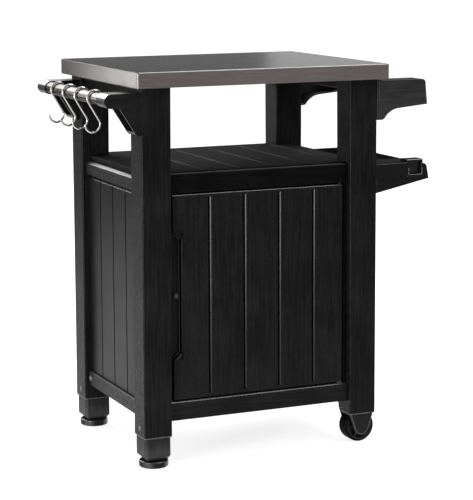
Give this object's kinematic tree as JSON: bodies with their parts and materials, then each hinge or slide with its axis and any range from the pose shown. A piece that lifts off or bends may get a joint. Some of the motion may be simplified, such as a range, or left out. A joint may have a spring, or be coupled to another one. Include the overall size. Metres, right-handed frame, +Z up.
{
  "type": "grill cart with storage",
  "caption": "Rolling outdoor preparation cart: steel-clad worktop, open shelf over a closed cupboard, tool rail with hooks on one side, roll rod and tray on the other.",
  "frame": {"origin": "on the floor under the middle of the worktop", "axes": "+X towards the side with the tray and the wheels, +Y from the door to the back, +Z up"},
  "size_m": [0.82, 0.518, 0.9],
  "materials": {
    "worktop_steel": "brushed, satin",
    "core_resin": "moulded, matt",
    "leg_resin": "moulded, fine satin",
    "board_resin": "moulded, fine satin",
    "fitting_resin": "moulded, fine satin",
    "foot_resin": "moulded, matt",
    "hub_resin": "moulded, matt",
    "latch_resin": "moulded, satin",
    "tread_rubber": "matt",
    "rail_steel": "bright drawn tube",
    "hook_steel": "bright",
    "opener_steel": "satin",
    "pin_steel": "turned",
    "screw_black": "black, satin"
  },
  "bodies": {
    "cart": {"worktop_sheet": "worktop_steel", "worktop_core": "core_resin", "leg_front_right": "leg_resin", "leg_rear_right": "leg_resin", "leg_front_left": "leg_resin", "leg_rear_left": "leg_resin", "apron_right": "board_resin", "apron_left": "board_resin", "apron_rear": "board_resin", "shelf_deck": "board_resin", "shelf_front_rail": "board_resin", "shelf_rear_rail": "board_resin", "shelf_side_rail_right": "board_resin", "shelf_side_rail_left": "board_resin", "panel_right": "board_resin", "panel_left": "board_resin", "panel_rear": "board_resin", "low_rail_front": "board_resin", "low_rail_rear": "board_resin", "low_rail_right": "board_resin", "low_rail_left": "board_resin", "cupboard_floor": "board_resin", "inner_shelf": "board_resin", "shelf_cleats": "board_resin", "jamb_right": "board_resin", "jamb_left": "board_resin", "rail_bracket_front": "fitting_resin", "rail_bracket_rear": "fitting_resin", "tool_rail": "rail_steel", "arm_front": "fitting_resin", "arm_rear": "fitting_resin", "tray": "fitting_resin", "bottle_opener": "opener_steel", "foot_block_front": "leg_resin", "foot_block_rear": "leg_resin", "wheel_fork_front": "leg_resin", "wheel_fork_rear": "leg_resin", "wheel_axles": "pin_steel", "leg_screws": "screw_black", "rail_screws": "screw_black"},
    "door": {"door_leaf": "board_resin", "door_pins": "pin_steel"},
    "latch": {"door_latch": "latch_resin"},
    "hook_1": {"hook_1": "hook_steel"},
    "hook_2": {"hook_2": "hook_steel"},
    "hook_3": {"hook_3": "hook_steel"},
    "hook_4": {"hook_4": "hook_steel"},
    "roll_rod": {"roll_rod": "fitting_resin"},
    "foot_front": {"levelling_foot_front": "foot_resin"},
    "foot_rear": {"levelling_foot_rear": "foot_resin"},
    "wheel_front": {"wheel_hub_front": "hub_resin", "wheel_tread_front": "tread_rubber"},
    "wheel_rear": {"wheel_hub_rear": "hub_resin", "wheel_tread_rear": "tread_rubber"}
  },
  "joints": [
    {"name": "door_hinge", "type": "hinge", "parent": "cart", "child": "door", "pos_m": [0.207, -0.213, 0.3865], "axis": [0, 0, 1], "range_deg": [0, 110]},
    {"name": "latch_turn", "type": "hinge", "parent": "door", "child": "latch", "pos_m": [-0.206, -0.208, 0.39], "axis": [0, 1, 0], "range_deg": [0, 90]},
    {"name": "hook_1_swing", "type": "hinge", "parent": "cart", "child": "hook_1", "pos_m": [-0.363, 0.127, 0.837], "axis": [0, 1, 0], "range_deg": [-35, 35]},
    {"name": "hook_2_swing", "type": "hinge", "parent": "cart", "child": "hook_2", "pos_m": [-0.363, 0.043, 0.837], "axis": [0, 1, 0], "range_deg": [-35, 35]},
    {"name": "hook_3_swing", "type": "hinge", "parent": "cart", "child": "hook_3", "pos_m": [-0.363, -0.04, 0.837], "axis": [0, 1, 0], "range_deg": [-35, 35]},
    {"name": "hook_4_swing", "type": "hinge", "parent": "cart", "child": "hook_4", "pos_m": [-0.363, -0.127, 0.837], "axis": [0, 1, 0], "range_deg": [-35, 35]},
    {"name": "roll_rod_turn", "type": "hinge", "parent": "cart", "child": "roll_rod", "pos_m": [0.393, 0, 0.826], "axis": [0, 1, 0], "continuous": true},
    {"name": "foot_front_adjust", "type": "slide", "parent": "cart", "child": "foot_front", "axis": [0, 0, -1], "range_m": [-0.004, 0.012]},
    {"name": "foot_rear_adjust", "type": "slide", "parent": "cart", "child": "foot_rear", "axis": [0, 0, -1], "range_m": [-0.004, 0.012]},
    {"name": "wheel_front_spin", "type": "hinge", "parent": "cart", "child": "wheel_front", "pos_m": [0.2595, -0.2005, 0.0375], "axis": [0, 1, 0], "continuous": true},
    {"name": "wheel_rear_spin", "type": "hinge", "parent": "cart", "child": "wheel_rear", "pos_m": [0.2595, 0.2005, 0.0375], "axis": [0, 1, 0], "continuous": true}
  ]
}
